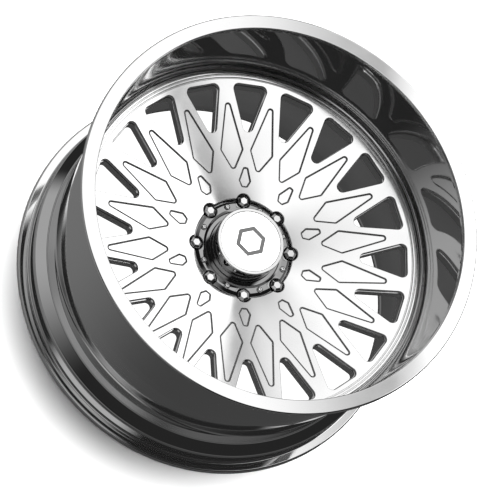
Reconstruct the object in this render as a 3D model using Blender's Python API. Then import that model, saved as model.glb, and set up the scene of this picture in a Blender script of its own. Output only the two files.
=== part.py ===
"""Forged deep-lip truck wheel: a windowed centre welded into a barrel, with its bolt-on hub cap,
lug nuts and inflation valve. Metres, +Z up. The wheel lies on its inboard flange: the spin axis
is +Z, the outboard lip face is on top, and the origin is the centre of the inboard flange face."""

from math import atan2, cos, pi, radians, sin, tan

import bmesh
import bpy
from mathutils import Vector

MM = 0.001

# ---------------------------------------------------------------- driving dimensions
FLANGE_RADIUS = 348.0 * MM          # both flanges
WHEEL_WIDTH = 377.0 * MM            # inboard flange face to outboard lip face
FLANGE_THICKNESS = 10.7 * MM
BEAD_RADIUS = 330.2 * MM            # 26 inch bead seats
WALL = 6.5 * MM                     # barrel wall
GAP = 0.3 * MM                      # left between touching pieces

PAD_Z = 112.5 * MM                  # hub pad above the inboard flange face
PAD_RADIUS = 112.0 * MM
BORE_RADIUS = 62.6 * MM
FACE_Z = 170.2 * MM                 # the conical face, extended to the axis
FACE_SLOPE = 0.168                  # its rise per unit of radius
DISC_RADIUS = 306.6 * MM
DISC_THICKNESS = 24.0 * MM
SEAT_RADIUS = DISC_RADIUS + GAP     # the barrel's bore for the disc
GROOVE_Z = 212.0 * MM               # ledge beside the disc's front edge

POCKET_RADIUS = 88.9 * MM           # hub pocket that the cap's flange sits in
POCKET_Z = 173.7 * MM
SHELF_RADIUS = 66.5 * MM            # counterbore for the cap barrel's foot
SHELF_Z = 169.0 * MM

LUGS = 8
LUG_CIRCLE = 85.0 * MM              # 170 mm pitch circle
LUG_ANGLE = radians(27.0)
STUD_HOLE = 8.0 * MM
LUG_WELL = 12.8 * MM
LUG_SEAT_Z = 136.0 * MM
LUG_SEAT_HEIGHT = 6.0 * MM          # a 60 degree cone, from the stud hole to the seat radius
LUG_SEAT_RADIUS = 11.5 * MM
NUT_TOP = 186.0 * MM

SCREW_CIRCLE = 77.0 * MM
SCREW_ANGLE = LUG_ANGLE + pi / LUGS
SCREW_RADIUS = 3.0 * MM
SCREW_LENGTH = 18.0 * MM

CAP_RADIUS = 59.8 * MM
CAP_TOP = 220.0 * MM
CAP_FLANGE_TOP = 182.0 * MM

WINDOWS = 20
SEGMENTS = 60                       # a multiple of the windows

VALVE_ANGLE = radians(27.0)          # behind a spoke
VALVE_RADIUS = 309.75 * MM          # the middle of the barrel wall there
VALVE_Z = 130.0 * MM
VALVE_HOLE = 5.75 * MM
VALVE_TRAVEL = 1.0 * MM


# ---------------------------------------------------------------- scene and materials
def clear_scene():
    for item in list(bpy.data.objects):
        bpy.data.objects.remove(item, do_unlink=True)


def material(name, colour, metallic, roughness):
    mat = bpy.data.materials.new(name)
    mat.use_nodes = True
    shader = mat.node_tree.nodes["Principled BSDF"]
    shader.inputs["Base Color"].default_value = (*colour, 1.0)
    shader.inputs["Metallic"].default_value = metallic
    shader.inputs["Roughness"].default_value = roughness
    mat.diffuse_color = (*colour, 1.0)
    return mat


# ---------------------------------------------------------------- mesh helpers
def finish_mesh(name, bm):
    bmesh.ops.recalc_face_normals(bm, faces=bm.faces)
    mesh = bpy.data.meshes.new(name)
    bm.to_mesh(mesh)
    bm.free()
    mesh.shade_smooth()
    mesh.set_sharp_from_angle(angle=radians(30.0))
    return mesh


def place(name, mesh, mat, location=(0.0, 0.0, 0.0), turn=0.0, parent=None):
    obj = bpy.data.objects.new(name, mesh)
    bpy.context.scene.collection.objects.link(obj)
    obj.location = location
    obj.rotation_euler.z = turn
    obj.parent = parent
    if not mesh.materials:
        mesh.materials.append(mat)
    return obj


def polar(radius, angle, z=0.0):
    return Vector((radius * cos(angle), radius * sin(angle), z))


def skin_rings(bm, rings, closed):
    """Joins neighbouring rings of vertices with faces; a ring of one vertex is a pole."""
    pairs = list(zip(rings, rings[1:] + rings[:1])) if closed else list(zip(rings, rings[1:]))
    for low, high in pairs:
        count = max(len(low), len(high))
        for i in range(count):
            j = (i + 1) % count
            corners = [low[i % len(low)], low[j % len(low)], high[j % len(high)], high[i % len(high)]]
            bm.faces.new(list(dict.fromkeys(corners)))


def add_lathe(bm, profile, segments, centre=(0.0, 0.0), radius_at=None):
    """Turns (radius, z) points round the vertical line through centre. A profile that starts and
    ends on the axis closes with two poles; any other profile is a closed loop."""
    on_axis = profile[0][0] == 0.0
    rings = []
    for radius, z in profile:
        steps = 1 if radius == 0.0 else segments
        ring = []
        for i in range(steps):
            angle = 2.0 * pi * i / segments
            reach = radius_at(radius, angle) if radius_at else radius
            ring.append(bm.verts.new(polar(reach, angle, z) + Vector((*centre, 0.0))))
        rings.append(ring)
    skin_rings(bm, rings, closed=not on_axis)


def lathe(name, profile, segments, **options):
    bm = bmesh.new()
    add_lathe(bm, profile, segments, **options)
    return finish_mesh(name, bm)


def rounded_outline(corners, radii, steps):
    """A polygon's outline with every corner replaced by an arc of its own radius."""
    outline = []
    count = len(corners)
    for i in range(count):
        here = Vector(corners[i])
        back = (Vector(corners[i - 1]) - here).normalized()
        ahead = (Vector(corners[(i + 1) % count]) - here).normalized()
        half = back.angle(ahead) / 2.0
        centre = here + (back + ahead).normalized() * radii[i] / sin(half)
        start = here + back * radii[i] / tan(half) - centre
        end = here + ahead * radii[i] / tan(half) - centre
        first = atan2(start.y, start.x)
        sweep = (atan2(end.y, end.x) - first + pi) % (2.0 * pi) - pi
        for k in range(steps + 1):
            angle = first + sweep * k / steps
            outline.append(centre + Vector((cos(angle), sin(angle))) * radii[i])
    return outline


def add_prism(bm, outline, turn, low_z, high_z):
    """A vertical prism over an outline that is turned about the wheel's axis; low_z is a height
    or a function of the radius. The outline is symmetric about its own X axis."""
    count = len(outline)
    rings = []
    for height in (low_z, high_z):
        ring = []
        for point in outline:
            z = height(point.length) if callable(height) else height
            ring.append(bm.verts.new(polar(point.length, atan2(point.y, point.x) + turn, z)))
        rings.append(ring)
        for i in range(count // 2 - 1):
            bm.faces.new((ring[i], ring[i + 1], ring[count - 2 - i], ring[count - 1 - i]))
    for i in range(count):
        j = (i + 1) % count
        bm.faces.new((rings[0][i], rings[0][j], rings[1][j], rings[1][i]))


def cut(target, name, bm):
    """Takes the closed volumes in bm out of target, with a Boolean modifier."""
    cutter = bpy.data.objects.new(name, finish_mesh(name, bm))
    bpy.context.scene.collection.objects.link(cutter)
    cutter.hide_render = True
    cutter.display_type = "WIRE"
    modifier = target.modifiers.new(name, "BOOLEAN")
    modifier.operation = "DIFFERENCE"
    modifier.solver = "EXACT"
    modifier.object = cutter
    return cutter


# ---------------------------------------------------------------- barrel
def barrel_profile():
    """Inside wall from the inboard flange up to the lip face, then down the tyre side."""
    top = WHEEL_WIDTH
    lip_inner = FLANGE_RADIUS - 22.3 * MM
    inner_bead = BEAD_RADIUS - WALL
    drop = 311.0 * MM
    crease = 320.5 * MM
    inside = [
        (inner_bead + 2.0 * MM, 0.0),
        (inner_bead, 2.0 * MM),
        (inner_bead, 38.0 * MM),
        (drop - WALL + 1.0 * MM, 62.0 * MM),
        (drop - WALL + 1.0 * MM, 112.0 * MM),
        (SEAT_RADIUS + 3.0 * MM, 178.0 * MM),
        (SEAT_RADIUS, 184.0 * MM),
        (SEAT_RADIUS, GROOVE_Z),
        (SEAT_RADIUS + 5.0 * MM, GROOVE_Z),
        (SEAT_RADIUS + 5.8 * MM, GROOVE_Z + 8.0 * MM),
        (lip_inner - 3.7 * MM, top - 7.0 * MM),
        (lip_inner - 2.5 * MM, top - 2.8 * MM),
        (lip_inner, top),
    ]
    outboard_flange = [
        (FLANGE_RADIUS - 1.7 * MM, top),
        (FLANGE_RADIUS, top - 1.7 * MM),
        (FLANGE_RADIUS, top - 7.5 * MM),
        (FLANGE_RADIUS - 3.5 * MM, top - FLANGE_THICKNESS),
        (BEAD_RADIUS + 3.3 * MM, top - FLANGE_THICKNESS),
        (BEAD_RADIUS, top - FLANGE_THICKNESS - 4.0 * MM),
        (BEAD_RADIUS - 1.8 * MM, top - 33.0 * MM),
        (BEAD_RADIUS + 1.0 * MM, top - 40.0 * MM),
        (BEAD_RADIUS - 3.2 * MM, top - 50.0 * MM),
    ]
    drop_centre = [
        (crease + 2.0 * MM, 235.0 * MM),
        (crease, 207.0 * MM),
        (drop, 112.0 * MM),
        (drop, 66.0 * MM),
        (drop + 2.5 * MM, 59.0 * MM),
        (BEAD_RADIUS - 1.2 * MM, 47.0 * MM),
    ]
    inboard_flange = [
        (BEAD_RADIUS + 1.0 * MM, 41.0 * MM),
        (BEAD_RADIUS - 1.8 * MM, 34.0 * MM),
        (BEAD_RADIUS, FLANGE_THICKNESS + 4.0 * MM),
        (BEAD_RADIUS + 3.3 * MM, FLANGE_THICKNESS),
        (FLANGE_RADIUS - 3.5 * MM, FLANGE_THICKNESS),
        (FLANGE_RADIUS, 7.5 * MM),
        (FLANGE_RADIUS, 1.7 * MM),
        (FLANGE_RADIUS - 1.7 * MM, 0.0),
    ]
    return inside + outboard_flange + drop_centre + inboard_flange


def build_barrel(mat):
    barrel = place("rim_barrel", lathe("rim_barrel", barrel_profile(), SEGMENTS), mat)
    hole = bmesh.new()
    seats = [(0.0, -30.0 * MM), (10.5 * MM, -30.0 * MM), (10.5 * MM, VALVE_OUTER_SEAT),
             (VALVE_HOLE, VALVE_OUTER_SEAT), (VALVE_HOLE, VALVE_INNER_SEAT),
             (10.5 * MM, VALVE_INNER_SEAT), (10.5 * MM, 30.0 * MM), (0.0, 30.0 * MM)]
    add_lathe(hole, seats, 20)
    cutter = cut(barrel, "valve_hole_cutter", hole)
    cutter.location = VALVE_PLACE
    cutter.rotation_euler = VALVE_TURN


# ---------------------------------------------------------------- centre disc
def face_z(radius):
    """Height of the dished, conical outboard face."""
    return FACE_Z + FACE_SLOPE * radius


def disc_profile():
    """From the hub bore's inboard edge out along the front, then back along the rear."""
    hub = [
        (BORE_RADIUS, PAD_Z + 2.0 * MM),
        (BORE_RADIUS, SHELF_Z),
        (SHELF_RADIUS, SHELF_Z),
        (SHELF_RADIUS, POCKET_Z),
        (POCKET_RADIUS, POCKET_Z),
        (POCKET_RADIUS, face_z(POCKET_RADIUS) - 1.3 * MM),
    ]
    front_radii = [90.3, 155.0, 225.0, 295.0]
    front = [(r * MM, face_z(r * MM)) for r in front_radii]
    edge_steps = [(296.2, -1.5), (298.0, 0.3), (301.5, 0.3), (303.2, -1.5)]
    edge = [(r * MM, face_z(r * MM) + step * MM) for r, step in edge_steps]
    rear_radii = [240.0, 170.0]
    rear = [(r * MM, face_z(r * MM) - DISC_THICKNESS) for r in rear_radii]
    rim = [(DISC_RADIUS, face_z(DISC_RADIUS) - 1.5 * MM),
           (DISC_RADIUS, face_z(DISC_RADIUS) - DISC_THICKNESS)]
    pad = [(150.0 * MM, 163.0 * MM), (118.0 * MM, 119.0 * MM), (PAD_RADIUS, PAD_Z),
           (BORE_RADIUS + 2.0 * MM, PAD_Z)]
    return hub + front + edge + rim + rear + pad


def mirrored(corners, radii, steps):
    """A rounded outline that is exactly symmetric about its X axis: its lower side from the hub
    outwards, then its upper side back. An odd number of steps keeps points off the axis."""
    outline = rounded_outline(corners, radii, steps)
    lower = sorted((point for point in outline if point.y < 0.0), key=lambda point: point.x)
    return lower + [Vector((point.x, -point.y)) for point in reversed(lower)]


def window_outline():
    """A long triangle with its rounded tip towards the hub."""
    tip, base, half_base = 184.4 * MM, 287.0 * MM, 33.7 * MM
    corners = [(tip, 0.0), (base, -half_base), (base, half_base)]
    return mirrored(corners, [9.2 * MM, 9.5 * MM, 9.5 * MM], 3)


def kite_outline():
    corners = [(137.0 * MM, 0.0), (173.0 * MM, -19.6 * MM), (268.0 * MM, 0.0), (173.0 * MM, 19.6 * MM)]
    return mirrored(corners, [4.0 * MM, 4.0 * MM, 4.0 * MM, 4.0 * MM], 1)


def small_kite_outline():
    corners = [(110.5 * MM, -4.2 * MM), (120.2 * MM, -9.4 * MM), (142.0 * MM, -3.2 * MM),
               (142.0 * MM, 3.2 * MM), (120.2 * MM, 9.4 * MM), (110.5 * MM, 4.2 * MM)]
    return mirrored(corners, [2.0 * MM] * 6, 1)


def pocket_floor(radius):
    return face_z(radius) - 1.5 * MM


def build_disc(mat):
    disc = place("centre_disc", lathe("centre_disc", disc_profile(), SEGMENTS), mat)
    above = CAP_TOP + 40.0 * MM

    windows = bmesh.new()
    for i in range(WINDOWS):
        add_prism(windows, window_outline(), 2.0 * pi * i / WINDOWS, PAD_Z, above)
    cut(disc, "window_cutters", windows)

    pockets = bmesh.new()
    for i in range(WINDOWS):
        add_prism(pockets, kite_outline(), 2.0 * pi * (i + 0.5) / WINDOWS, pocket_floor, above)
        if i % 2 == 0:
            add_prism(pockets, small_kite_outline(), 2.0 * pi * i / WINDOWS, pocket_floor, above)
    cut(disc, "pocket_cutters", pockets)

    holes = bmesh.new()
    well_floor = LUG_SEAT_Z + LUG_SEAT_HEIGHT
    lug_hole = [(0.0, PAD_Z - 10.0 * MM), (STUD_HOLE, PAD_Z - 10.0 * MM), (STUD_HOLE, LUG_SEAT_Z),
                (LUG_SEAT_RADIUS, well_floor), (LUG_WELL, well_floor), (LUG_WELL, above), (0.0, above)]
    screw_floor = POCKET_Z - 14.0 * MM
    tap_hole = [(0.0, screw_floor), (SCREW_RADIUS + GAP, screw_floor),
                (SCREW_RADIUS + GAP, above), (0.0, above)]
    for i in range(LUGS):
        add_lathe(holes, lug_hole, 16, centre=polar(LUG_CIRCLE, LUG_ANGLE + 2.0 * pi * i / LUGS).xy)
        add_lathe(holes, tap_hole, 8, centre=polar(SCREW_CIRCLE, SCREW_ANGLE + 2.0 * pi * i / LUGS).xy)
    cut(disc, "fastener_hole_cutters", holes)


def build_welds(mat):
    """The front ring lies at the bottom of the groove beside the disc, the rear one behind it."""
    inner = DISC_RADIUS + 0.5 * MM
    low = GROOVE_Z + GAP
    front = [(inner, low), (inner + 3.6 * MM, low), (inner + 3.0 * MM, low + 1.2 * MM),
             (inner + 1.5 * MM, low + 2.0 * MM), (inner, low + 2.2 * MM)]
    place("front_weld_ring", lathe("front_weld_ring", front, SEGMENTS), mat)
    wall = SEAT_RADIUS - GAP
    high = face_z(DISC_RADIUS) - DISC_THICKNESS - 2.0 * GAP
    rear = [(wall, high), (wall - 6.0 * MM, high - 0.6 * MM), (wall - 4.5 * MM, high - 2.6 * MM),
            (wall - 2.2 * MM, high - 4.6 * MM), (wall, high - 6.0 * MM)]
    place("rear_weld_ring", lathe("rear_weld_ring", rear, SEGMENTS), mat)


# ---------------------------------------------------------------- lug nuts
def build_lug_nuts(mat):
    """Closed-end hex nuts, 20 mm across flats, with a 60 degree seat and a blind thread."""
    half_flats = 10.0 * MM
    seat = LUG_SEAT_Z + 2.0 * GAP
    collar = seat + 5.6 * MM
    thread_radius = 6.7 * MM
    profile = [(0.0, seat + 42.0 * MM), (thread_radius, seat + 39.0 * MM), (thread_radius, seat),
               (STUD_HOLE, seat), (11.0 * MM, collar - 0.4 * MM), (11.0 * MM, collar + 1.6 * MM),
               (half_flats, collar + 2.6 * MM), (half_flats, NUT_TOP - 5.0 * MM),
               (9.0 * MM, NUT_TOP - 2.4 * MM), (6.0 * MM, NUT_TOP - 0.7 * MM), (0.0, NUT_TOP)]

    def hex_radius(radius, angle):
        if radius != half_flats:
            return radius
        return half_flats / cos((angle % (pi / 3.0)) - pi / 6.0)

    mesh = lathe("lug_nut", profile, 12, radius_at=hex_radius)
    for i in range(LUGS):
        angle = LUG_ANGLE + 2.0 * pi * i / LUGS
        place(f"lug_nut_{i + 1}", mesh, mat, polar(LUG_CIRCLE, angle), turn=angle)


# ---------------------------------------------------------------- hub cap
def build_cap_flange(mat):
    """A ring with a lowered inner ledge, notched round each nut and drilled for its screws."""
    outer = POCKET_RADIUS - 0.6 * MM
    inner = CAP_RADIUS + 0.8 * MM
    ledge = 67.0 * MM
    low = POCKET_Z + GAP
    profile = [(inner, low), (inner, CAP_FLANGE_TOP - 4.0 * MM), (ledge, CAP_FLANGE_TOP - 4.0 * MM),
               (ledge + 2.0 * MM, CAP_FLANGE_TOP), (outer - 2.0 * MM, CAP_FLANGE_TOP),
               (outer, CAP_FLANGE_TOP - 2.0 * MM), (outer, low)]
    flange = place("cap_flange", lathe("cap_flange", profile, 48), mat)
    holes = bmesh.new()
    below, above = low - 10.0 * MM, CAP_FLANGE_TOP + 10.0 * MM
    for i in range(LUGS):
        for radius, circle, start, segments in (
                (LUG_WELL - 0.6 * MM, LUG_CIRCLE, LUG_ANGLE, 16),
                (SCREW_RADIUS + GAP, SCREW_CIRCLE, SCREW_ANGLE, 8)):
            profile = [(0.0, below), (radius, below), (radius, above), (0.0, above)]
            add_lathe(holes, profile, segments, centre=polar(circle, start + 2.0 * pi * i / LUGS).xy)
    cut(flange, "cap_flange_cutters", holes)


def build_cap_screws(mat):
    head_low = CAP_FLANGE_TOP + GAP
    tip = head_low - SCREW_LENGTH
    profile = [(0.0, tip), (SCREW_RADIUS - 0.5 * MM, tip), (SCREW_RADIUS, tip + 0.6 * MM),
               (SCREW_RADIUS, head_low), (5.25 * MM, head_low), (5.25 * MM, head_low + 0.8 * MM),
               (3.4 * MM, head_low + 2.9 * MM), (0.0, head_low + 3.1 * MM)]
    mesh = lathe("cap_screw", profile, 8)
    for i in range(LUGS):
        angle = SCREW_ANGLE + 2.0 * pi * i / LUGS
        place(f"cap_screw_{i + 1}", mesh, mat, polar(SCREW_CIRCLE, angle), turn=angle)


def build_cap(metal, plate_metal, emblem_paint, rubber):
    """The cap barrel is open below and has a foot that the flange clamps into the hub."""
    foot_low, foot_top = SHELF_Z + GAP, POCKET_Z
    inner = CAP_RADIUS - 3.5 * MM
    recess_radius, recess_z = CAP_RADIUS - 6.8 * MM, CAP_TOP - 2.8 * MM
    skirt_low = SHELF_Z - 18.0 * MM
    profile = [(0.0, recess_z - 3.0 * MM), (inner, recess_z - 3.0 * MM), (inner, skirt_low),
               (CAP_RADIUS, skirt_low), (CAP_RADIUS, SHELF_Z - 11.0 * MM),
               (CAP_RADIUS - 1.6 * MM, SHELF_Z - 11.0 * MM), (CAP_RADIUS - 1.6 * MM, SHELF_Z - 7.0 * MM),
               (CAP_RADIUS, SHELF_Z - 7.0 * MM), (CAP_RADIUS, foot_low),
               (SHELF_RADIUS - 0.5 * MM, foot_low), (SHELF_RADIUS - 0.5 * MM, foot_top),
               (CAP_RADIUS, foot_top), (CAP_RADIUS, CAP_TOP - 1.2 * MM), (CAP_RADIUS - 1.2 * MM, CAP_TOP),
               (recess_radius, CAP_TOP), (recess_radius, recess_z), (0.0, recess_z)]
    place("cap_barrel", lathe("cap_barrel", profile, 48), metal)

    plate_radius, plate_top = recess_radius - GAP, CAP_TOP - 0.6 * MM
    plate = [(0.0, recess_z + GAP), (plate_radius, recess_z + GAP), (plate_radius, plate_top - 0.4 * MM),
             (plate_radius - 0.4 * MM, plate_top), (0.0, plate_top)]
    place("cap_face", lathe("cap_face", plate, 48), plate_metal)

    low = plate_top + GAP
    badge = [(20.0 * MM, low), (28.0 * MM, low), (28.0 * MM, low + 0.6 * MM), (20.0 * MM, low + 0.6 * MM)]
    place("cap_emblem", lathe("cap_emblem", badge, 6), emblem_paint)

    ring_radius, ring_z, cord = 60.35 * MM, SHELF_Z - 9.0 * MM, 1.75 * MM
    section = [(ring_radius + cord * cos(2.0 * pi * k / 6), ring_z + cord * sin(2.0 * pi * k / 6))
               for k in range(6)]
    place("cap_seal", lathe("cap_seal", section, 40), rubber)


# ---------------------------------------------------------------- inflation valve
VALVE_PLACE = polar(VALVE_RADIUS, VALVE_ANGLE, VALVE_Z)
VALVE_TURN = (0.0, -pi / 2.0, VALVE_ANGLE)     # local +Z points from the tyre side to the axis
VALVE_OUTER_SEAT = -2.3 * MM                   # seats are local heights along the stem
VALVE_INNER_SEAT = 2.3 * MM
STEM_TOP = 34.0 * MM


def helix(radius, wire, turns, low, high, steps_per_turn, sides):
    """A closed coil of round wire round the local Z axis."""
    bm = bmesh.new()
    steps = turns * steps_per_turn
    rings = []
    for k in range(steps + 1):
        angle = 2.0 * pi * k / steps_per_turn
        centre = polar(radius, angle, low + (high - low) * k / steps)
        out = polar(1.0, angle)
        rings.append([bm.verts.new(centre + wire * (out * cos(2.0 * pi * s / sides)
                                                    + Vector((0.0, 0.0, sin(2.0 * pi * s / sides)))))
                      for s in range(sides)])
    skin_rings(bm, rings, closed=False)
    bm.faces.new(rings[0])
    bm.faces.new(rings[-1])
    return finish_mesh("valve_spring", bm)


def build_valve(brass, steel, rubber, plastic):
    seat = bpy.data.objects.new("valve_frame", None)
    bpy.context.scene.collection.objects.link(seat)
    seat.location = VALVE_PLACE
    seat.rotation_euler = VALVE_TURN

    def add(name, profile, segments, mat, at=0.0):
        moved = [(radius, z - at) for radius, z in profile]
        return place(name, lathe(name, moved, segments), mat, (0.0, 0.0, at), parent=seat)

    stem, bore, shoulder = 4.0 * MM, 1.6 * MM, 2.4 * MM
    grommet_low = VALVE_OUTER_SEAT - 2.4 * MM
    head_top = grommet_low - GAP
    core_low, core_top = 12.0 * MM, STEM_TOP - 1.0 * MM
    add("valve_stem", [
        (bore, head_top - 3.0 * MM), (8.0 * MM, head_top - 3.0 * MM), (8.0 * MM, head_top),
        (stem, head_top), (stem, STEM_TOP - 0.6 * MM), (stem - 0.6 * MM, STEM_TOP),
        (shoulder, STEM_TOP), (shoulder, core_low - GAP), (bore, core_low - GAP)], 20, brass)
    add("valve_grommet", [
        (stem + GAP, grommet_low), (8.6 * MM, grommet_low), (8.6 * MM, VALVE_OUTER_SEAT - GAP),
        (VALVE_HOLE - GAP, VALVE_OUTER_SEAT - GAP), (VALVE_HOLE - GAP, 0.0), (stem + GAP, 0.0)],
        20, rubber)
    washer_low = VALVE_INNER_SEAT + GAP
    nut_low = washer_low + 1.2 * MM + GAP
    add("valve_washer", [
        (stem + GAP, washer_low), (8.2 * MM, washer_low), (8.2 * MM, washer_low + 1.2 * MM),
        (stem + GAP, washer_low + 1.2 * MM)], 20, steel)

    def hex_radius(radius, angle):
        return radius if radius < 6.0 * MM else radius / cos((angle % (pi / 3.0)) - pi / 6.0)

    nut = [(stem + GAP, nut_low), (6.5 * MM, nut_low), (6.5 * MM, nut_low + 4.2 * MM),
           (5.9 * MM, nut_low + 5.0 * MM), (stem + GAP, nut_low + 5.0 * MM)]
    place("valve_nut", lathe("valve_nut", nut, 24, radius_at=hex_radius), steel, parent=seat)

    pin_radius, collar = 0.45 * MM, 1.35 * MM
    core_radius, core_wall = shoulder - 0.15 * MM, 1.75 * MM
    add("valve_core", [
        (core_wall, core_low), (core_radius, core_low), (core_radius, core_top),
        (pin_radius + 0.2 * MM, core_top), (pin_radius + 0.2 * MM, core_top - 3.0 * MM),
        (core_wall, core_top - 3.0 * MM)], 16, brass)
    collar_top = core_top - 3.2 * MM
    add("valve_pin", [
        (0.0, core_low - 1.0 * MM), (pin_radius, core_low - 1.0 * MM),
        (pin_radius, collar_top - 1.2 * MM), (collar, collar_top - 1.2 * MM), (collar, collar_top),
        (pin_radius, collar_top), (pin_radius, core_top + 0.6 * MM), (0.0, core_top + 0.6 * MM)],
        12, brass, at=core_top)
    spring_low = core_low + 0.5 * MM
    spring_high = collar_top - 1.2 * MM - VALVE_TRAVEL - 0.6 * MM
    spring = helix(1.15 * MM, 0.2 * MM, 6, spring_low, spring_high, 8, 5)
    place("valve_spring", spring, steel, parent=seat)

    cap_low, cap_top = 20.0 * MM, STEM_TOP + 3.0 * MM
    cap = [(stem + GAP, cap_low), (5.0 * MM, cap_low), (5.3 * MM, cap_low + 1.5 * MM),
           (5.1 * MM, cap_top - 1.2 * MM), (3.8 * MM, cap_top), (0.0, cap_top),
           (0.0, STEM_TOP + 1.2 * MM), (stem + GAP, STEM_TOP + 1.2 * MM)]
    profile = cap[6:] + cap[:6]
    add("valve_cap", profile, 20, plastic, at=cap_low)


# ---------------------------------------------------------------- assembly
def main():
    clear_scene()
    polished = material("polished aluminium", (0.88, 0.88, 0.89), 1.0, 0.08)
    weld = material("machined weld", (0.55, 0.55, 0.56), 1.0, 0.30)
    chrome = material("chrome", (0.72, 0.72, 0.73), 1.0, 0.05)
    dark_chrome = material("dark chrome", (0.25, 0.25, 0.26), 1.0, 0.10)
    plate = material("white plate", (0.86, 0.86, 0.86), 0.0, 0.25)
    charcoal = material("charcoal paint", (0.06, 0.06, 0.06), 0.0, 0.40)
    brass = material("nickel-plated brass", (0.62, 0.60, 0.55), 1.0, 0.25)
    steel = material("zinc-plated steel", (0.55, 0.56, 0.57), 1.0, 0.30)
    rubber = material("black rubber", (0.02, 0.02, 0.02), 0.0, 0.70)
    plastic = material("black plastic", (0.03, 0.03, 0.03), 0.0, 0.45)

    build_barrel(polished)
    build_disc(polished)
    build_welds(weld)
    build_lug_nuts(dark_chrome)
    build_cap_flange(chrome)
    build_cap_screws(chrome)
    build_cap(chrome, plate, charcoal, rubber)
    build_valve(brass, steel, rubber, plastic)


main()
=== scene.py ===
"""Looks of the forged deep-lip wheel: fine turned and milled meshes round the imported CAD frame."""

from math import atan2, cos, exp, pi, radians, sin, sqrt, tan

import bmesh
import bpy
from mathutils import Matrix, Vector


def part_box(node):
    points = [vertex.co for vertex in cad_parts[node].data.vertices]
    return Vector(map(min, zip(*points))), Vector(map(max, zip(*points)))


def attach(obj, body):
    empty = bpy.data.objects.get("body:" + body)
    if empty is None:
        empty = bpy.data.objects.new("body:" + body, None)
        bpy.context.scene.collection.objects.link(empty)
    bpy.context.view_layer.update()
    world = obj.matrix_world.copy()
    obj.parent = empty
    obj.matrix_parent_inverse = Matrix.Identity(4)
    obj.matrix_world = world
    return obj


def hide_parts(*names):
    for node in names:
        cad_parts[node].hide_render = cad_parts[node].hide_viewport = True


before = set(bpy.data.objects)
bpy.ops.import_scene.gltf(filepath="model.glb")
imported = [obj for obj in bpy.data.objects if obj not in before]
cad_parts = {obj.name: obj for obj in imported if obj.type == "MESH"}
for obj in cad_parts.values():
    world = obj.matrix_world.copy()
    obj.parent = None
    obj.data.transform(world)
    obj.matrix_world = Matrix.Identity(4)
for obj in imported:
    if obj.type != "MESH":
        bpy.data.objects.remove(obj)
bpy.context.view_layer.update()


# ---------------------------------------------------------------- sizes, in millimetres
def radius_of(node):
    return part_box(node)[1].x * 1000.0


def top_of(node):
    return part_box(node)[1].z * 1000.0


FLANGE_RADIUS = radius_of("rim_barrel")
WHEEL_WIDTH = top_of("rim_barrel")
DISC_RADIUS = radius_of("centre_disc")
PAD_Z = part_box("centre_disc")[0].z * 1000.0
CAP_TOP = top_of("cap_barrel")
FLANGE_TOP = top_of("cap_flange")
GAP = 0.3
SEAT_RADIUS = DISC_RADIUS + GAP
GROOVE_Z = 212.0
BORE_RADIUS = 62.6
SHELF_RADIUS, SHELF_Z = 66.5, 169.0
POCKET_RADIUS, POCKET_Z = 88.9, 173.7
DISC_THICKNESS = 24.0
CAP_RADIUS = 59.8

WINDOWS = 20
LUGS = 8
LUG_CIRCLE, LUG_ANGLE = 85.0, radians(27.0)
LUG_WELL, LUG_SEAT_Z, NUT_TOP = 12.8, 136.0, 186.0
SCREW_CIRCLE, SCREW_ANGLE, SCREW_RADIUS = 77.0, LUG_ANGLE + pi / LUGS, 3.0
VALVE_ANGLE, VALVE_RADIUS, VALVE_Z = radians(27.0), 309.75, 130.0

FACE_Z, FACE_SLOPE, HUB_FALL = 170.2, 0.168, 45.0
TURNED = 360                        # segments of the large turned pieces


def face_z(radius):
    """Height of the dished face: a cone that steepens a little towards the hub."""
    return FACE_Z + FACE_SLOPE * radius - exp((POCKET_RADIUS - radius) / HUB_FALL)


# ---------------------------------------------------------------- materials
class Nodes:
    """A short way to write a node tree: every call adds a node and returns its first output."""

    def __init__(self, tree):
        self.tree = tree

    def put(self, value, socket):
        if isinstance(value, bpy.types.NodeSocket):
            self.tree.links.new(value, socket)
        else:
            socket.default_value = value

    def add(self, kind, *values, **named):
        node = self.tree.nodes.new(kind)
        for key, value in named.items():
            if hasattr(node, key):
                setattr(node, key, value)
            else:
                self.put(value, node.inputs[key.replace("_", " ")])
        for i, value in enumerate(values):
            self.put(value, node.inputs[i])
        return node.outputs[0]

    def math(self, operation, *values):
        return self.add("ShaderNodeMath", *values, operation=operation)

    def times(self, *values):
        product = values[0]
        for value in values[1:]:
            product = self.math("MULTIPLY", product, value)
        return product

    def plus(self, *values):
        total = values[0]
        for value in values[1:]:
            total = self.math("ADD", total, value)
        return total

    def ramp(self, value, low, high, to_low=0.0, to_high=1.0):
        return self.add("ShaderNodeMapRange", value, low, high, to_low, to_high,
                        interpolation_type="SMOOTHSTEP")

    def band(self, value, low, high, soft):
        """1 between low and high, with soft edges."""
        rise = self.ramp(value, low - soft, low + soft)
        return self.times(rise, self.ramp(value, high - soft, high + soft, 1.0, 0.0))

    def dot(self, vector, axis):
        node = self.tree.nodes.new("ShaderNodeVectorMath")
        node.operation = "DOT_PRODUCT"
        self.put(vector, node.inputs[0])
        node.inputs[1].default_value = axis
        return node.outputs["Value"]

    def noise(self, vector, scale, detail=2.0):
        node = self.tree.nodes.new("ShaderNodeTexNoise")
        self.put(vector, node.inputs["Vector"])
        node.inputs["Scale"].default_value = scale
        node.inputs["Detail"].default_value = detail
        return node.outputs["Fac"]


def new_material(name):
    mat = bpy.data.materials.new(name)
    mat.use_nodes = True
    nodes = Nodes(mat.node_tree)
    place = nodes.tree.nodes.new("ShaderNodeTexCoord").outputs["Object"]
    return mat, nodes, nodes.tree.nodes["Principled BSDF"].inputs, place


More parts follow.
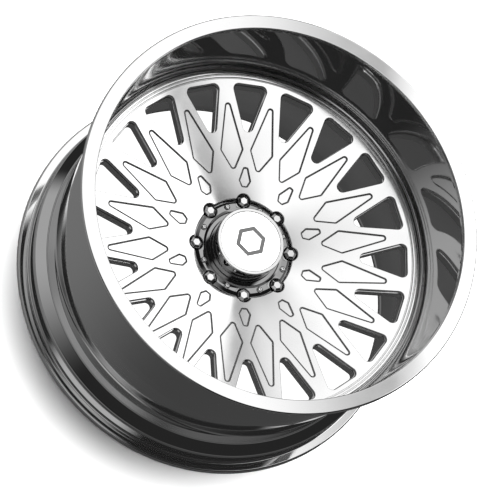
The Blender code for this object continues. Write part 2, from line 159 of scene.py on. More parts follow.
def metal(name, colour, roughness, rings=0.0, tooth=0.0, spread=0.02):
    """Metal whose roughness wanders by spread. rings is the depth of the lathe's marks round the
    wheel's axis and tooth that of an all-over grain, both in micrometres."""
    mat, nodes, shader, place = new_material(name)
    shader["Base Color"].default_value = (*colour, 1.0)
    shader["Metallic"].default_value = 1.0
    smudge = nodes.noise(place, 14.0, 3.0)
    nodes.put(nodes.ramp(smudge, 0.3, 0.7, max(roughness - spread, 0.01), roughness + spread),
              shader["Roughness"])
    heights = []
    if rings:
        x, y = nodes.dot(place, (1.0, 0.0, 0.0)), nodes.dot(place, (0.0, 1.0, 0.0))
        radius = nodes.math("SQRT", nodes.plus(nodes.times(x, x), nodes.times(y, y)))
        along = nodes.add("ShaderNodeCombineXYZ", radius, nodes.dot(place, (0.0, 0.0, 1.0)), 0.0)
        heights.append(nodes.times(nodes.noise(along, 1100.0), rings))
    if tooth:
        heights.append(nodes.times(nodes.noise(place, 700.0), tooth))
    if heights:
        bump = nodes.add("ShaderNodeBump", Distance=1e-6, Height=nodes.plus(*heights))
        nodes.put(bump, shader["Normal"])
    return mat


def coating(name, colour, roughness, tooth, coat=0.0):
    """Paint, rubber or plastic with a mottled colour and a fine tooth, in micrometres."""
    mat, nodes, shader, place = new_material(name)
    shader["Coat Weight"].default_value = coat
    mottle = nodes.noise(place, 60.0, 4.0)
    dark = (*[c * 0.9 for c in colour], 1.0)
    light = (*[min(c * 1.05, 1.0) for c in colour], 1.0)
    tint = nodes.add("ShaderNodeMixRGB", mottle, dark, light)
    nodes.put(tint, shader["Base Color"])
    nodes.put(nodes.ramp(mottle, 0.3, 0.7, roughness - 0.05, roughness + 0.05), shader["Roughness"])
    bump = nodes.add("ShaderNodeBump", Distance=1e-6, Height=nodes.times(nodes.noise(place, 900.0), tooth))
    nodes.put(bump, shader["Normal"])
    return mat


FACE_METAL = metal("polished face aluminium", (0.90, 0.90, 0.90), 0.10, rings=0.25, spread=0.03)
# Darker than the milled walls round the windows: painted shade in the kite grooves.
GROOVE_SHADE_METAL = metal("milled groove with painted shade", (0.42, 0.42, 0.42), 0.40, tooth=8.0, spread=0.06)
MILLED_METAL = metal("milled aluminium", (0.80, 0.80, 0.80), 0.42, tooth=8.0, spread=0.06)
BARREL_METAL = metal("polished barrel aluminium", (0.86, 0.86, 0.86), 0.05, rings=0.2)
CHROME = metal("chrome", (0.80, 0.80, 0.80), 0.04)
DARK_CHROME = metal("dark chrome", (0.34, 0.34, 0.34), 0.05)
WELD_METAL = metal("turned weld", (0.55, 0.55, 0.55), 0.30, tooth=6.0, spread=0.08)
BRASS = metal("nickel-plated brass", (0.62, 0.61, 0.58), 0.22, tooth=1.0)
STEEL = metal("zinc-plated steel", (0.55, 0.56, 0.57), 0.28, tooth=1.5)
PLATE = coating("white enamel", (0.88, 0.88, 0.88), 0.22, 1.0, coat=0.4)
CHARCOAL = coating("charcoal enamel", (0.055, 0.055, 0.055), 0.35, 1.0, coat=0.2)
RUBBER = coating("black rubber", (0.022, 0.022, 0.022), 0.70, 12.0)
PLASTIC = coating("black plastic", (0.03, 0.03, 0.03), 0.45, 8.0)


# ---------------------------------------------------------------- mesh helpers
def polar(radius, angle, z=0.0):
    return Vector((radius * cos(angle), radius * sin(angle), z))


def mesh_of(name, bm, mat):
    """Finishes a mesh that was drawn in millimetres."""
    bmesh.ops.recalc_face_normals(bm, faces=bm.faces)
    bm.transform(Matrix.Scale(0.001, 4))
    mesh = bpy.data.meshes.new(name)
    bm.to_mesh(mesh)
    bm.free()
    mesh.materials.append(mat)
    mesh.shade_smooth()
    mesh.set_sharp_from_angle(angle=radians(30.0))
    return mesh


def show(mesh, node, body="wheel", matrix=Matrix.Identity(4)):
    """Puts a mesh in the scene in place of a CAD node."""
    piece = bpy.data.objects.new(node + "_fine", mesh)
    bpy.context.scene.collection.objects.link(piece)
    piece.matrix_world = matrix
    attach(piece, body)
    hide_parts(node)
    return piece


def arc(centre, radius, first, sweep, step=radians(9.0)):
    steps = max(2, round(abs(sweep) / step))
    return [centre + radius * Vector((cos(first + sweep * k / steps), sin(first + sweep * k / steps)))
            for k in range(steps + 1)]


def corner_arc(back, here, ahead, fillet, step=radians(9.0)):
    """The rounding of one corner, held to what the runs beside it leave room for."""
    back, ahead = back - here, ahead - here
    half = back.angle(ahead) / 2.0
    reach = min(fillet / tan(half), 0.48 * back.length, 0.48 * ahead.length)
    radius = reach * tan(half)
    centre = here + (back.normalized() + ahead.normalized()).normalized() * radius / sin(half)
    start = here + back.normalized() * reach - centre
    end = here + ahead.normalized() * reach - centre
    first = atan2(start.y, start.x)
    return arc(centre, radius, first, (atan2(end.y, end.x) - first + pi) % (2.0 * pi) - pi, step)


def section(*corners, closed=True):
    """A turned section from (radius, z, fillet) corners. Long runs get a point close to both ends,
    so that they stay flat when shaded."""
    points = [Vector(corner[:2]) for corner in corners]
    runs = []
    for i, corner in enumerate(corners):
        fillet = corner[2] if len(corner) > 2 else 0.0
        if fillet:
            runs.append(corner_arc(points[i - 1], points[i], points[(i + 1) % len(points)], fillet))
        else:
            runs.append([points[i]])
    outline = []
    for i, run in enumerate(runs):
        outline += run
        onward = runs[(i + 1) % len(runs)][0] - run[-1]
        if onward.length > 1.5 and (closed or i < len(runs) - 1):
            nudge = 0.2 * onward.normalized()
            outline += [run[-1] + nudge, run[-1] + onward - nudge]
    return outline


def add_turned(bm, outline, segments, radius_at=None, lift=None):
    """Turns a section round the vertical axis. One that starts and ends on the axis closes there;
    any other is a closed loop. radius_at(radius, z, angle) and lift(radius, z, angle) shape it."""
    on_axis = outline[0][0] < 1e-6
    rings = []
    for radius, z in outline:
        ring = []
        for i in range(1 if radius < 1e-6 else segments):
            angle = 2.0 * pi * i / segments
            reach = radius_at(radius, z, angle) if radius_at else radius
            rise = lift(radius, z, angle) if lift else 0.0
            ring.append(bm.verts.new(polar(reach, angle, z + rise)))
        rings.append(ring)
    for low, high in list(zip(rings, rings[1:])) + ([] if on_axis else [(rings[-1], rings[0])]):
        for i in range(segments):
            j = (i + 1) % segments
            corners = [low[i % len(low)], low[j % len(low)], high[j % len(high)], high[i % len(high)]]
            bm.faces.new(list(dict.fromkeys(corners)))


def turned(name, outline, segments, mat, **shape):
    bm = bmesh.new()
    add_turned(bm, outline, segments, **shape)
    return mesh_of(name, bm, mat)


def plan_outline(corners, fillet, longest=None):
    """A counter-clockwise plan outline with rounded corners and, if asked, runs cut to longest."""
    corners = [Vector(corner) for corner in corners]
    outline = []
    for i, here in enumerate(corners):
        outline += corner_arc(corners[i - 1], here, corners[(i + 1) % len(corners)], fillet, radians(12.0))
    if longest is None:
        return outline
    fine = []
    for i, start in enumerate(outline):
        run = outline[(i + 1) % len(outline)] - start
        pieces = max(1, round(run.length / longest))
        fine += [start + run * k / pieces for k in range(pieces)]
    return fine


def grown(outline, amount):
    """Moves every point of a counter-clockwise outline outwards."""
    moved = []
    for i, point in enumerate(outline):
        along = outline[(i + 1) % len(outline)] - outline[i - 1]
        moved.append(point + amount * Vector((along.y, -along.x)).normalized())
    return moved


def circle_outline(radius, segments):
    return [polar(radius, 2.0 * pi * i / segments).xy for i in range(segments)]


def add_loft(bm, outline, levels, matrix, ladder=False):
    """A closed stack of copies of an outline. Each level is (growth, z), where z is a height or
    a function of the distance from the wheel's axis. A ladder closes the lowest level with strips,
    so that it follows the face; its outline is symmetric and starts on its lower side."""
    rings = []
    for growth, z in levels:
        ring = []
        for point in grown(outline, growth) if growth else outline:
            spot = matrix @ Vector((point.x, point.y, 0.0))
            spot.z = z(spot.xy.length) if callable(z) else z
            ring.append(bm.verts.new(spot))
        rings.append(ring)
    count = len(outline)
    for low, high in zip(rings, rings[1:]):
        for i in range(count):
            j = (i + 1) % count
            bm.faces.new((low[i], low[j], high[j], high[i]))
    bm.faces.new(rings[-1])
    if ladder:
        low = rings[0]
        for i in range(count // 2 - 1):
            bm.faces.new((low[i], low[count - 1 - i], low[count - 2 - i], low[i + 1]))
    else:
        bm.faces.new(list(reversed(rings[0])))


def symmetric(outline):
    """The same outline, exactly symmetric about X and starting at the inner end of its lower side."""
    start = next(i for i, point in enumerate(outline) if point.y < -1e-6 and outline[i - 1].y >= -1e-6)
    ordered = outline[start:] + outline[:start]
    lower = [point for point in ordered if point.y < -1e-6]
    return lower + [Vector((point.x, -point.y)) for point in reversed(lower)]


def cut(bm, cutters):
    """Returns bm with the closed volumes in each of the cutters taken out. Frees them all."""
    def linked(name, source):
        mesh = bpy.data.meshes.new(name)
        bmesh.ops.recalc_face_normals(source, faces=source.faces)
        source.to_mesh(mesh)
        source.free()
        obj = bpy.data.objects.new(name, mesh)
        bpy.context.scene.collection.objects.link(obj)
        return obj

    blank = linked("blank", bm)
    tools = [linked("tool", cutter) for cutter in cutters]
    for tool in tools:
        modifier = blank.modifiers.new("cut", "BOOLEAN")
        modifier.operation = "DIFFERENCE"
        modifier.solver = "EXACT"
        modifier.object = tool
    bpy.context.view_layer.update()
    shaped = blank.evaluated_get(bpy.context.evaluated_depsgraph_get())
    result = bmesh.new()
    result.from_mesh(shaped.to_mesh())
    for obj in [blank, *tools]:
        bpy.data.objects.remove(obj)
    return result


# ---------------------------------------------------------------- barrel
def build_barrel():
    top = WHEEL_WIDTH
    outline = section(
        (325.7, 0.0, 0.6), (325.2, 1.2, 0.6), (325.2, 12.0, 0.4), (323.7, 12.8, 0.6), (323.7, 38.0, 14.0),
        (305.5, 62.0, 14.0), (305.5, 112.0, 60.0), (309.9, 178.0, 3.0), (SEAT_RADIUS, 184.0, 1.0),
        (SEAT_RADIUS, GROOVE_Z, 0.3), (311.9, GROOVE_Z, 0.8), (311.9, 219.0, 0.7), (314.8, 220.2, 3.0),
        (315.5, 227.0, 8.0), (321.8, 368.0, 6.0), (322.1, 371.6, 0.5), (322.8, 372.4, 0.2),
        (324.4, 372.5, 0.3), (324.4, 374.0, 0.3), (323.2, 374.1, 0.2), (323.2, top, 2.3),
        (FLANGE_RADIUS, top, 2.8), (FLANGE_RADIUS, top - 10.7, 3.2), (330.2, top - 10.7, 4.0),
        (328.4, 344.0, 5.0), (331.2, 338.0, 3.5), (327.3, 330.0, 8.0), (322.3, 232.0, 30.0),
        (320.5, 207.0, 1.2), (311.0, 112.0, 120.0), (311.0, 62.0, 5.0), (329.4, 47.5, 4.0),
        (331.2, 41.0, 3.5), (328.4, 34.0, 5.0), (330.2, 10.7, 4.0), (FLANGE_RADIUS, 10.7, 3.2),
        (FLANGE_RADIUS, 0.0, 1.4))
    bm = bmesh.new()
    add_turned(bm, outline, TURNED)
    hole = bmesh.new()
    add_turned(hole, [(0.0, -30.0), (10.5, -30.0), (10.5, -2.3), (5.75, -2.3), (5.75, 2.3), (10.5, 2.3),
                      (10.5, 30.0), (0.0, 30.0)], 48)
    hole.transform(VALVE_FRAME_MM)
    show(mesh_of("rim_barrel_fine", cut(bm, [hole]), BARREL_METAL), "rim_barrel")


# ---------------------------------------------------------------- centre disc
def face_normal(x, y):
    radius = sqrt(x * x + y * y)
    slope = FACE_SLOPE + exp((POCKET_RADIUS - radius) / HUB_FALL) / HUB_FALL
    return Vector((-slope * x / radius, -slope * y / radius, 1.0)).normalized()


def smooth_face(mesh):
    """Gives the concave face and the floors of its pockets the exact normals of the surface."""
    normals = [Vector(corner.vector) for corner in mesh.corner_normals]
    for polygon in mesh.polygons:
        centre = polygon.center * 1000.0
        radius = centre.xy.length
        if POCKET_RADIUS + 1.5 < radius < 295.0 and abs(centre.z - face_z(radius) + 1.0) < 1.6:
            if polygon.normal.dot(face_normal(centre.x, centre.y)) > 0.995:
                for corner in polygon.loop_indices:
                    spot = mesh.vertices[mesh.loops[corner].vertex_index].co * 1000.0
                    normals[corner] = face_normal(spot.x, spot.y)
    mesh.normals_split_custom_set(normals)


def build_disc():
    front = [(r, face_z(r), 0.0) for r in range(95, 295, 5)]
    rear = [(r, face_z(r) - DISC_THICKNESS, 0.0) for r in range(300, 165, -15)]
    edge = [(295.0, 0.0, 0.4), (295.6, -1.5, 0.6), (297.2, -1.5, 0.6), (297.8, 0.3, 0.5), (300.6, 0.3, 0.5),
            (301.2, -1.6, 0.6), (302.7, -1.6, 0.6), (303.3, 0.3, 0.5)]
    rim_z = face_z(DISC_RADIUS)
    outline = section(
        (BORE_RADIUS, PAD_Z, 1.6), (BORE_RADIUS, SHELF_Z, 0.4), (SHELF_RADIUS, SHELF_Z, 0.3),
        (SHELF_RADIUS, POCKET_Z, 0.4), (POCKET_RADIUS, POCKET_Z, 0.6),
        (POCKET_RADIUS, face_z(POCKET_RADIUS), 1.2), *front,
        *[(r, face_z(r) + step, fillet) for r, step, fillet in edge],
        (DISC_RADIUS, rim_z + 0.2, 0.9), (DISC_RADIUS, rim_z - DISC_THICKNESS, 0.6),
        *rear, (150.0, 163.0, 10.0), (118.0, 119.0, 8.0), (112.0, PAD_Z, 2.0))
    bm = bmesh.new()
    add_turned(bm, outline, TURNED)

    def below(depth):
        return lambda radius: face_z(radius) - depth

    windows, kites, holes = bmesh.new(), bmesh.new(), bmesh.new()
    window = plan_outline([(184.4, 0.0), (287.0, -33.7), (287.0, 33.7)], 9.4, 5.0)
    walls = [(-3.0, 100.0), (-1.9, below(DISC_THICKNESS)), (-1.1, below(8.2)), (0.0, below(8.0)),
             (0.0, below(0.9)), (0.35, below(0.35)), (0.9, below(0.0)), (0.9, 260.0)]
    kite = symmetric(plan_outline([(137.0, 0.0), (173.0, -19.6), (268.0, 0.0), (173.0, 19.6)], 4.0, 4.0))
    small = symmetric(plan_outline([(110.5, -4.2), (120.2, -9.4), (142.0, -3.2), (142.0, 3.2),
                                    (120.2, 9.4), (110.5, 4.2)], 2.4, 3.0))
    groove = [(-1.2, below(1.3)), (-0.9, below(1.45)), (-0.3, below(2.0)), (0.1, below(2.2)),
              (0.5, below(2.0)), (1.1, below(1.1)), (1.5, below(0.4)), (1.8, below(0.08)),
              (2.0, below(0.0)), (2.0, 260.0)]
    for i in range(WINDOWS):
        here = Matrix.Rotation(2.0 * pi * i / WINDOWS, 4, "Z")
        between = Matrix.Rotation(2.0 * pi * (i + 0.5) / WINDOWS, 4, "Z")
        add_loft(windows, window, walls, here)
        add_loft(kites, kite, groove, between, ladder=True)
        if i % 2 == 0:
            add_loft(kites, small, groove, here, ladder=True)
    well = circle_outline(LUG_WELL, 72)
    tap = circle_outline(SCREW_RADIUS + GAP, 24)
    for i in range(LUGS):
        turn = 2.0 * pi * i / LUGS
        levels = [(8.0 - LUG_WELL, 100.0), (8.0 - LUG_WELL, LUG_SEAT_Z), (-1.3, LUG_SEAT_Z + 6.0),
                  (0.0, LUG_SEAT_Z + 6.0), (0.0, below(1.0)), (0.3, below(0.3)), (1.0, below(0.0)),
                  (1.0, 260.0)]
        add_loft(holes, well, levels, Matrix.Translation(polar(LUG_CIRCLE, LUG_ANGLE + turn)))
        add_loft(holes, tap, [(0.0, POCKET_Z - 14.0), (0.0, 260.0)],
                 Matrix.Translation(polar(SCREW_CIRCLE, SCREW_ANGLE + turn)))
    mesh = mesh_of("centre_disc_fine", cut(bm, [windows, kites, holes]), FACE_METAL)
    smooth_face(mesh)
    mesh.materials.append(MILLED_METAL)
    mesh.materials.append(GROOVE_SHADE_METAL)
    for polygon in mesh.polygons:
        centre = polygon.center * 1000.0
        radius, rise = centre.xy.length, polygon.normal.z
        depth = face_z(radius) - centre.z
        if abs(rise) < 0.3 and depth > 8.1:
            polygon.material_index = 1
        elif 0.3 < rise < 0.95 and 0.45 < depth < 2.2 and 105.0 < radius < 275.0:
            # Painted shade: the kite grooves take the darker metal.
            polygon.material_index = 2
    show(mesh, "centre_disc")


def build_welds():
    def bead(radius, z, angle):
        return 0.35 * abs(sin(140.0 * angle)) if z > GROOVE_Z + 1.0 else 0.0

    low = GROOVE_Z + GAP
    front = section((307.2, low, 0.2), (310.8, low, 0.3), (310.4, low + 1.4, 0.8), (309.0, low + 2.3, 1.2),
                    (307.2, low + 2.2, 0.6))
    show(turned("front_weld", front, 840, WELD_METAL, lift=bead), "front_weld_ring")
    wall, high = SEAT_RADIUS - GAP, face_z(DISC_RADIUS) - DISC_THICKNESS - 2.0 * GAP

    def rear_bead(radius, z, angle):
        return -0.5 * abs(sin(100.0 * angle)) if z < high - 1.5 and radius < wall - 1.0 else 0.0

    rear = section((wall, high, 0.3), (wall - 6.2, high - 0.6, 0.6), (wall - 4.6, high - 3.0, 2.0),
                   (wall - 2.2, high - 5.0, 2.0), (wall, high - 6.2, 0.3))
    show(turned("rear_weld", rear, 600, WELD_METAL, lift=rear_bead), "rear_weld_ring")


# ---------------------------------------------------------------- nuts, screws and hub cap
def hex_reach(half_flats, angle):
    """Distance to the edge of a hexagon."""
    return half_flats / cos((angle % (pi / 3.0)) - pi / 6.0)


def build_lug_nuts():
    half_flats, seat = 10.0, LUG_SEAT_Z + 2.0 * GAP
    collar = seat + 5.6

    def shape(radius, z, angle):
        return radius if z < collar + 2.0 else radius / half_flats * hex_reach(half_flats, angle)

    outline = section(
        (0.0, seat + 42.0), (6.7, seat + 39.0, 0.4), (6.7, seat, 0.3), (8.0, seat, 0.3),
        (11.0, collar - 0.4, 0.4), (11.0, collar + 1.9, 0.4), (half_flats, collar + 1.9),
        (half_flats, NUT_TOP - 3.4, 0.2), (9.2, NUT_TOP - 1.8, 0.2), (5.8, NUT_TOP - 0.4, 0.2),
        (5.4, NUT_TOP, 0.15), (0.0, NUT_TOP), closed=False)
    mesh = turned("lug_nut_fine", outline, 96, CHROME, radius_at=shape)
    for i in range(LUGS):
        turn = LUG_ANGLE + 2.0 * pi * i / LUGS
        matrix = Matrix.Translation(polar(LUG_CIRCLE, turn) * 0.001) @ Matrix.Rotation(turn, 4, "Z")
        show(mesh, f"lug_nut_{i + 1}", matrix=matrix)


def build_cap_screws():
    low = FLANGE_TOP + GAP
    tip = low - 18.0

    def shape(radius, z, angle):
        if z > low - 0.1 and radius < 1.75:
            return hex_reach(1.5, angle) * radius / 1.5
        if z < low - 1.0 and radius > 2.6 and z > tip + 0.7:
            phase = (z / 0.8 - angle / (2.0 * pi)) % 1.0
            return radius - 0.38 * abs(2.0 * phase - 1.0)
        return radius

    outline = [Vector((0.0, tip)), Vector((2.2, tip)), Vector((2.6, tip + 0.6))]
    outline += [Vector((SCREW_RADIUS, tip + 0.8 + 0.2 * k)) for k in range(77)]
    outline += section((SCREW_RADIUS, low - 0.6, 0.1), (SCREW_RADIUS, low, 0.1), (5.25, low, 0.3),
                       (5.25, low + 1.0, 0.5), (4.2, low + 2.4, 1.4), (2.6, low + 3.0, 0.8),
                       (1.6, low + 3.0, 0.15), (1.5, low + 1.2, 0.1), (0.0, low + 0.8), closed=False)
    mesh = turned("cap_screw_fine", outline, 48, CHROME, radius_at=shape)
    for i in range(LUGS):
        turn = SCREW_ANGLE + 2.0 * pi * i / LUGS
        matrix = Matrix.Translation(polar(SCREW_CIRCLE, turn) * 0.001) @ Matrix.Rotation(turn, 4, "Z")
        show(mesh, f"cap_screw_{i + 1}", matrix=matrix)


def build_cap_flange():
    outer, inner, ledge, low = POCKET_RADIUS - 0.6, CAP_RADIUS + 0.8, 67.0, POCKET_Z + GAP
    outline = section(
        (inner, low, 0.3), (inner, FLANGE_TOP - 4.0, 0.5), (ledge, FLANGE_TOP - 4.0, 1.0),
        (ledge + 0.8, FLANGE_TOP - 1.6, 0.5), (ledge + 4.5, FLANGE_TOP, 0.8), (outer - 7.5, FLANGE_TOP, 0.8),
        (outer - 1.8, FLANGE_TOP - 2.2, 0.5), (outer, FLANGE_TOP - 3.0, 0.8), (outer, low, 0.3))
    bm = bmesh.new()
    add_turned(bm, outline, 240)
    holes = bmesh.new()
    for i in range(LUGS):
        turn = 2.0 * pi * i / LUGS
        for radius, ease, segments, spot in (
                (LUG_WELL - 0.6, 1.8, 72, polar(LUG_CIRCLE, LUG_ANGLE + turn)),
                (SCREW_RADIUS + GAP, 0.4, 32, polar(SCREW_CIRCLE, SCREW_ANGLE + turn))):
            levels = [(0.0, low - 10.0)]
            levels += [(ease * (1.0 - cos(pi * k / 12.0)), FLANGE_TOP - ease * (1.0 - sin(pi * k / 12.0)))
                       for k in range(7)]
            levels.append((ease, FLANGE_TOP + 10.0))
            add_loft(holes, circle_outline(radius, segments), levels, Matrix.Translation(spot))
    show(mesh_of("cap_flange_fine", cut(bm, [holes]), DARK_CHROME), "cap_flange")


def build_cap():
    foot, inner, recess = SHELF_Z + GAP, CAP_RADIUS - 3.5, CAP_TOP - 2.8
    skirt = SHELF_Z - 18.0
    barrel = section(
        (0.0, recess - 3.0), (inner, recess - 3.0, 2.0), (inner, skirt, 0.8), (CAP_RADIUS, skirt, 0.8),
        (CAP_RADIUS, SHELF_Z - 11.0, 0.2), (CAP_RADIUS - 1.6, SHELF_Z - 11.0, 0.2),
        (CAP_RADIUS - 1.6, SHELF_Z - 7.0, 0.2), (CAP_RADIUS, SHELF_Z - 7.0, 0.2), (CAP_RADIUS, foot, 0.2),
        (SHELF_RADIUS - 0.5, foot, 0.4), (SHELF_RADIUS - 0.5, POCKET_Z, 0.6), (CAP_RADIUS, POCKET_Z, 1.2),
        (CAP_RADIUS, CAP_TOP, 1.8), (CAP_RADIUS - 6.8, CAP_TOP, 1.6), (CAP_RADIUS - 6.8, recess, 0.3),
        (0.0, recess), closed=False)
    show(turned("cap_barrel_fine", barrel, 240, CHROME), "cap_barrel")
    radius, top = CAP_RADIUS - 6.8 - GAP, CAP_TOP - 0.6
    plate = section((0.0, recess + GAP), (radius, recess + GAP, 0.2), (radius, top, 1.2), (0.0, top),
                    closed=False)
    show(turned("cap_face_fine", plate, 240, PLATE), "cap_face")

    def hexagon(radius, z, angle):
        return hex_reach(radius * cos(pi / 6.0), angle)

    low = top + GAP
    badge = section((20.0, low, 0.1), (28.0, low, 0.1), (28.0, low + 0.6, 0.25), (20.0, low + 0.6, 0.25))
    show(turned("cap_emblem_fine", badge, 240, CHARCOAL, radius_at=hexagon), "cap_emblem")
    cord = arc(Vector((60.35, SHELF_Z - 9.0)), 1.75, 0.0, 2.0 * pi, radians(15.0))[:-1]
    show(turned("cap_seal_fine", cord, 240, RUBBER), "cap_seal")


# ---------------------------------------------------------------- inflation valve
VALVE_AXES = Matrix.Rotation(VALVE_ANGLE, 4, "Z") @ Matrix.Rotation(-pi / 2.0, 4, "Y")
VALVE_FRAME_MM = Matrix.Translation(polar(VALVE_RADIUS, VALVE_ANGLE, VALVE_Z)) @ VALVE_AXES
VALVE_FRAME = Matrix.Translation(polar(VALVE_RADIUS, VALVE_ANGLE, VALVE_Z) * 0.001) @ VALVE_AXES
STEM_TOP = 34.0


def thread(pitch, depth, low, high, beyond):
    """A radius function that cuts a helical thread into the wall outside radius beyond."""
    def shape(radius, z, angle):
        if radius < beyond or not low < z < high:
            return radius
        ease = min(1.0, (z - low) / pitch, (high - z) / pitch)
        return radius - depth * ease * abs(2.0 * ((z / pitch - angle / (2.0 * pi)) % 1.0) - 1.0)
    return shape


def build_valve():
    def add(node, outline, segments, mat, slot, body="wheel", **shape):
        mesh = turned(node + "_fine", outline, segments, mat, **shape)
        show(mesh, node, body, VALVE_FRAME)

    stem, bore, shoulder = 4.0, 1.6, 2.4
    head = -5.0
    fine_wall = [Vector((stem, 10.0 + 0.12 * k)) for k in range(195)]
    outline = section((bore, head - 3.0, 0.2), (8.0, head - 3.0, 0.6), (8.0, head, 0.4), (stem, head, 0.4),
                      (stem, 9.8), closed=False) + fine_wall
    outline += section((stem, STEM_TOP - 0.5), (stem - 0.6, STEM_TOP, 0.1), (shoulder, STEM_TOP, 0.1),
                       (shoulder, 11.7, 0.1), (bore, 11.7, 0.1), closed=False)
    add("valve_stem", outline, 48, BRASS, "valve_brass", radius_at=thread(0.8, 0.45, 10.0, 33.3, 3.9))
    add("valve_grommet", section((4.3, -4.7, 0.2), (8.6, -4.7, 0.8), (8.6, -2.6, 0.4), (5.45, -2.6, 0.3),
                                 (5.45, 0.0, 0.3), (4.3, 0.0, 0.2)), 64, RUBBER, "seal_rubber")
    add("valve_washer", section((4.3, 2.6, 0.1), (8.2, 2.6, 0.2), (8.2, 3.8, 0.3), (4.3, 3.8, 0.1)),
        64, STEEL, "valve_steel")

    def nut_shape(radius, z, angle):
        return min(radius, hex_reach(6.5, angle)) if radius > 5.0 else radius

    add("valve_nut", section((4.3, 4.1, 0.2), (7.1, 4.1, 0.1), (7.4, 4.6, 0.1), (7.4, 8.1, 0.1),
                             (6.2, 9.1, 0.3), (4.3, 9.1, 0.2)), 96, STEEL, "valve_steel", radius_at=nut_shape)
    low, top = 12.0, STEM_TOP - 1.0
    add("valve_core", section((1.75, low, 0.05), (2.25, low, 0.1), (2.25, top, 0.2), (0.65, top, 0.1),
                              (0.65, top - 3.0, 0.1), (1.75, top - 3.0, 0.1)), 32, BRASS, "valve_brass")
    collar = top - 3.2
    add("valve_pin", section((0.0, low - 1.0), (0.45, low - 1.0, 0.15), (0.45, collar - 1.2),
                             (1.35, collar - 1.2, 0.1), (1.35, collar, 0.2), (0.45, collar),
                             (0.45, top + 0.6, 0.15), (0.0, top + 0.6), closed=False),
        24, BRASS, "valve_brass", body="valve_pin")
    spring_low, spring_high = low + 0.5, collar - 2.8
    bm = bmesh.new()
    rings = []
    turns, steps = 6, 24
    for k in range(turns * steps + 1):
        angle = 2.0 * pi * k / steps
        centre = polar(1.15, angle, spring_low + (spring_high - spring_low) * k / (turns * steps))
        rings.append([bm.verts.new(centre + 0.2 * (polar(cos(2.0 * pi * s / 10), angle)
                                                   + Vector((0.0, 0.0, sin(2.0 * pi * s / 10)))))
                      for s in range(10)])
    for one, other in zip(rings, rings[1:]):
        for s in range(10):
            bm.faces.new((one[s], one[(s + 1) % 10], other[(s + 1) % 10], other[s]))
    bm.faces.new(rings[0])
    bm.faces.new(rings[-1])
    show(mesh_of("valve_spring_fine", bm, STEEL), "valve_spring", matrix=VALVE_FRAME)

    def knurl(radius, z, angle):
        if radius < 4.9 or not 22.0 < z < 35.4:
            return radius
        return radius - 0.28 * (0.5 - 0.5 * cos(24.0 * angle)) * min(1.0, (z - 22.0) / 0.8, (35.4 - z) / 0.8)

    ribs = [Vector((5.3, 22.0 + 0.4 * k)) for k in range(34)]
    outline = section((0.0, STEM_TOP + 1.2), (4.3, STEM_TOP + 1.2, 0.4), (4.3, 20.0, 0.2), (5.1, 20.0, 0.3),
                      (5.3, 21.6), closed=False) + ribs
    outline += section((5.25, 35.6), (5.1, 35.9, 0.2), (3.8, 37.0, 0.6), (0.0, 37.0), closed=False)
    add("valve_cap", outline, 192, PLASTIC, "cap_plastic", body="valve_cap", radius_at=knurl)


build_barrel()
build_disc()
build_welds()
build_lug_nuts()
build_cap_screws()
build_cap_flange()
build_cap()
build_valve()


# ---------------------------------------------------------------- studio
def staged(name, bm, height, grey, specular=0.5, emission=0.0):
    """A flat matt piece of the studio."""
    mesh = bpy.data.meshes.new(name)
    bm.to_mesh(mesh)
    bm.free()
    mat = bpy.data.materials.new(name)
    mat.use_nodes = True
    shader = mat.node_tree.nodes["Principled BSDF"].inputs
    shader["Base Color"].default_value = (grey, grey, grey, 1.0)
    shader["Roughness"].default_value = 0.9
    shader["Specular IOR Level"].default_value = specular
    shader["Emission Color"].default_value = (1.0, 1.0, 1.0, 1.0)
    shader["Emission Strength"].default_value = emission
    mesh.materials.append(mat)
    obj = bpy.data.objects.new(name, mesh)
    bpy.context.scene.collection.objects.link(obj)
    obj.location.z = height
    return obj


def build_floor():
    bm = bmesh.new()
    bmesh.ops.create_grid(bm, x_segments=1, y_segments=1, size=8.0)
    staged("floor", bm, -0.0005, 0.9).visible_glossy = False


def painted_floor_card(name, height, emission, seen):
    """A disc on the floor inside the barrel that only one kind of ray sees. For the camera it is a glowing
    white disc, painted light over the wheel's shade on the floor there; for reflections it is a dark disc, a
    painted dark reflection."""
    bm = bmesh.new()
    bmesh.ops.create_circle(bm, cap_ends=True, segments=128, radius=0.322)
    card = staged(name, bm, height, 0.02, specular=0.0, emission=emission)
    card.visible_camera = seen == "camera"
    card.visible_glossy = seen == "glossy"
    card.visible_diffuse = card.visible_shadow = False


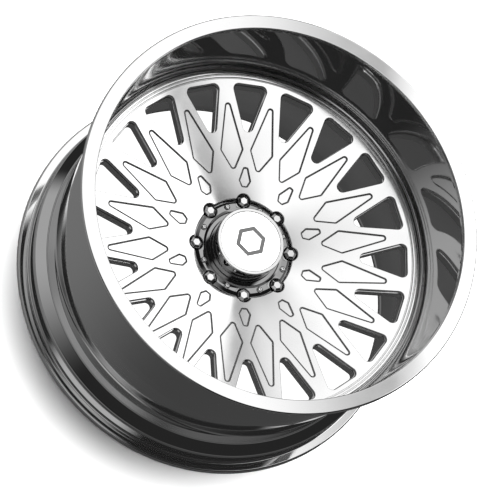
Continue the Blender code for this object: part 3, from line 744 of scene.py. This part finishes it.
def build_sky():
    """Soft boxes as a function of direction: two broad cards overhead that share a bowed edge, the
    larger one shaded towards it, dim walls, a faint glow from below, and low strips and panels
    round the sides."""
    world = bpy.data.worlds.new("studio")
    bpy.context.scene.world = world
    world.use_nodes = True
    nodes = Nodes(world.node_tree)
    ray = nodes.tree.nodes.new("ShaderNodeTexCoord").outputs["Generated"]
    turn = radians(-6.7)
    across = nodes.dot(ray, (cos(turn), sin(turn), 0.0))
    along = nodes.dot(ray, (0.0, 1.0, 0.0))
    up = nodes.dot(ray, (0.0, 0.0, 1.0))
    middle = nodes.plus(along, -0.2)
    bow = nodes.times(middle, middle)
    past = nodes.plus(across, -0.432, nodes.times(bow, -0.88))      # beyond the shared edge
    reach = nodes.plus(0.055, nodes.times(bow, 1.2))
    shade = nodes.ramp(nodes.math("DIVIDE", past, reach), -1.0, -0.15, 1.2, 0.5)
    large = nodes.times(shade, nodes.ramp(past, -0.008, 0.008, 1.0, 0.0),
                        nodes.ramp(across, -0.08, 0.16), nodes.ramp(along, -0.17, 0.0),
                        nodes.ramp(along, 0.42, 0.62, 1.0, 0.0))
    small = nodes.times(1.5, nodes.ramp(past, -0.008, 0.008),
                        nodes.ramp(across, 0.71, 0.77, 1.0, 0.0), nodes.band(along, -0.24, 0.64, 0.1))
    cards = nodes.times(nodes.ramp(up, 0.3, 0.5), nodes.plus(large, small))
    walls = nodes.plus(0.02, nodes.times(nodes.band(up, 0.30, 0.81, 0.04),
                                         nodes.ramp(along, -0.3, 0.55, 0.0, 0.38)))

    def towards(azimuth):
        return nodes.dot(ray, polar(1.0, radians(azimuth)))

    under = nodes.times(nodes.ramp(up, -0.25, 0.0, 1.0, 0.0),
                        nodes.ramp(towards(100.0), -0.30, 0.42, 0.035, 0.15))
    strip = nodes.times(0.28, nodes.band(up, -0.30, 0.10, 0.04), nodes.ramp(towards(115.0), 0.65, 0.95))
    facing = nodes.dot(ray, (-0.41, -0.23, 0.883))
    fill = nodes.times(0.5, nodes.ramp(facing, 0.94, 0.985))
    panels = nodes.plus(*(nodes.times(glow, nodes.ramp(towards(azimuth), 0.62, 0.92))
                          for azimuth, glow in ((15.0, 0.8), (195.0, 0.22), (285.0, 0.09))))
    panels = nodes.times(nodes.band(up, -0.36, 0.03, 0.10), panels)
    strength = nodes.plus(nodes.math("MAXIMUM", cards, walls), under, strip, fill, panels)
    background = nodes.tree.nodes["Background"]
    background.inputs["Color"].default_value = (1.0, 1.0, 1.0, 1.0)
    nodes.put(strength, background.inputs["Strength"])


def build_lamp():
    """A soft overhead lamp that only lights matt surfaces, for the floor and its shadow."""
    lamp = bpy.data.lights.new("floor lamp", "SUN")
    lamp.energy = 9.5
    lamp.angle = radians(30.0)
    obj = bpy.data.objects.new("floor lamp", lamp)
    bpy.context.scene.collection.objects.link(obj)
    lean, towards = radians(13.0), radians(28.0)
    obj.rotation_euler = (0.0, lean, towards)
    obj.visible_glossy = False


def build_camera():
    azimuth, elevation, roll = radians(208.80), radians(62.03), radians(-46.77)
    distance, aim = 4.752, Vector((-0.0859, -0.0448, 0.377))
    back = Vector((cos(elevation) * cos(azimuth), cos(elevation) * sin(azimuth), sin(elevation)))
    level = Vector((0.0, 0.0, 1.0)).cross(back).normalized()
    upright = back.cross(level)
    right = cos(roll) * level - sin(roll) * upright
    top = cos(roll) * upright + sin(roll) * level
    lens = bpy.data.cameras.new("camera")
    lens.lens = 214.7
    lens.sensor_width = 36.0
    lens.clip_end = 50.0
    camera = bpy.data.objects.new("camera", lens)
    bpy.context.scene.collection.objects.link(camera)
    turned_to_view = Matrix((right, top, back)).transposed().to_4x4()
    camera.matrix_world = Matrix.Translation(aim + distance * back) @ turned_to_view
    bpy.context.scene.camera = camera


build_floor()
# Painted light: a glowing white disc, seen only by the camera, over the shaded floor inside the barrel.
painted_floor_card("painted_light_card", 0.0004, 1.2, "camera")
# Painted reflection: a dark disc under the wheel that only reflections see.
painted_floor_card("painted_reflection_card", 0.0006, 0.06, "glossy")
build_sky()
build_lamp()
build_camera()
bpy.context.scene.view_settings.view_transform = "Standard"
